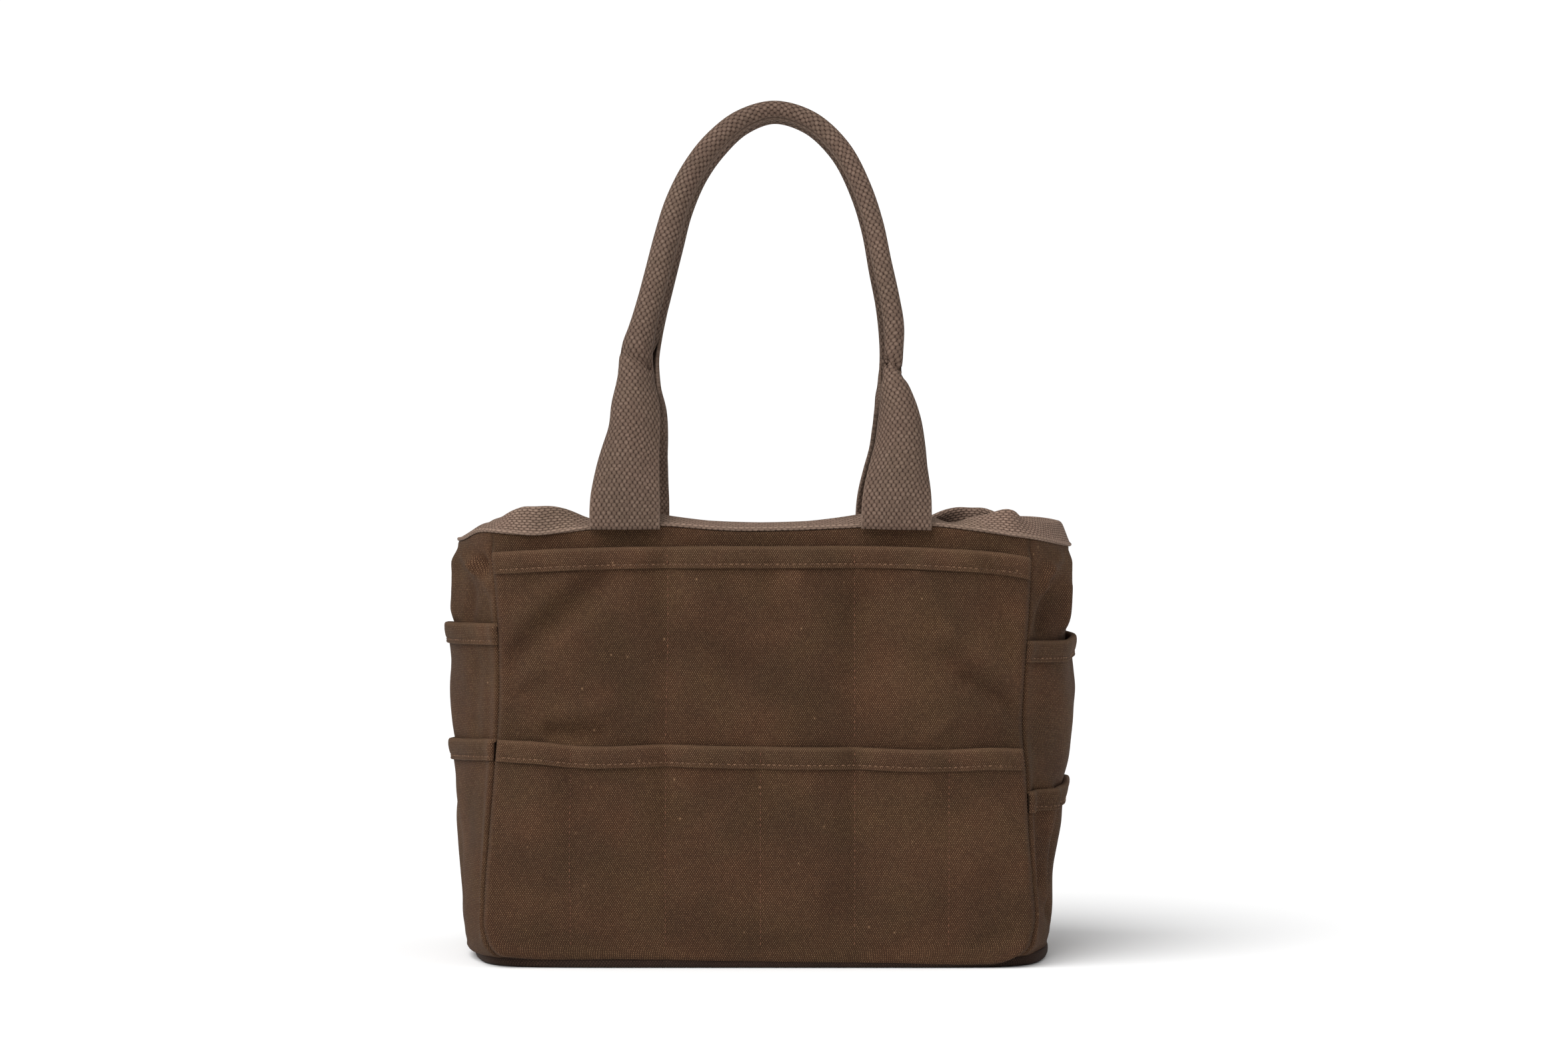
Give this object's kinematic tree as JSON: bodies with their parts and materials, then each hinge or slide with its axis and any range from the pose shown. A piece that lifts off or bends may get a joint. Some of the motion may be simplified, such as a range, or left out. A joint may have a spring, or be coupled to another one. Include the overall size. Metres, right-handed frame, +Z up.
{
  "type": "garden tool bag",
  "caption": "Open-topped canvas garden tool bag with pockets on all four sides, a webbing rim and two long rolled webbing handles that fold down outside.",
  "frame": {"origin": "centre of the base's underside, on the surface the bag stands on", "axes": "+Z up, X along the bag's long sides, the front long side faces -Y"},
  "size_m": [0.3751, 0.1872, 0.5043],
  "materials": {
    "canvas": "heavy washed cotton canvas, dark brown with a fine visible weave",
    "base_canvas": "the same canvas on the base, darker",
    "hem_canvas": "folded canvas strip",
    "webbing": "coarse basket-weave cotton webbing, grey-brown",
    "thread": "reddish-brown sewing thread",
    "seam_tape": "twill tape folded round a seam allowance",
    "base_board": "flat stiffener board",
    "cord": "twisted cotton cord"
  },
  "bodies": {
    "bag": {"front_panel": "canvas", "front_upper_pocket": "canvas", "front_upper_pocket_hem": "hem_canvas", "front_lower_pocket": "canvas", "front_lower_pocket_hem": "hem_canvas", "front_divider_stitching": "thread", "front_hem_stitching": "thread", "front_left_handle_tab": "webbing", "front_right_handle_tab": "webbing", "back_panel": "canvas", "back_upper_pocket": "canvas", "back_upper_pocket_hem": "hem_canvas", "back_lower_pocket": "canvas", "back_lower_pocket_hem": "hem_canvas", "back_divider_stitching": "thread", "back_hem_stitching": "thread", "back_left_handle_tab": "webbing", "back_right_handle_tab": "webbing", "left_gusset": "canvas", "left_upper_pocket": "canvas", "left_upper_pocket_hem": "hem_canvas", "left_lower_pocket": "canvas", "left_lower_pocket_hem": "hem_canvas", "left_hem_stitching": "thread", "right_gusset": "canvas", "right_upper_pocket": "canvas", "right_upper_pocket_hem": "hem_canvas", "right_lower_pocket": "canvas", "right_lower_pocket_hem": "hem_canvas", "right_hem_stitching": "thread", "base_panel": "base_canvas", "base_board": "base_board", "base_lining": "canvas", "base_seam_tape": "seam_tape", "front_left_seam_tape": "seam_tape", "front_right_seam_tape": "seam_tape", "back_left_seam_tape": "seam_tape", "back_right_seam_tape": "seam_tape", "rim_webbing": "webbing"},
    "front_handle": {"front_handle_strap": "webbing", "front_handle_core": "cord"},
    "back_handle": {"back_handle_strap": "webbing", "back_handle_core": "cord"}
  },
  "joints": [
    {"name": "front_handle_fold", "type": "hinge", "parent": "bag", "child": "front_handle", "pos_m": [0, -0.0852, 0.2655], "axis": [1, 0, 0], "range_deg": [0, 186]},
    {"name": "back_handle_fold", "type": "hinge", "parent": "bag", "child": "back_handle", "pos_m": [0, 0.0852, 0.2655], "axis": [-1, 0, 0], "range_deg": [0, 186]}
  ]
}
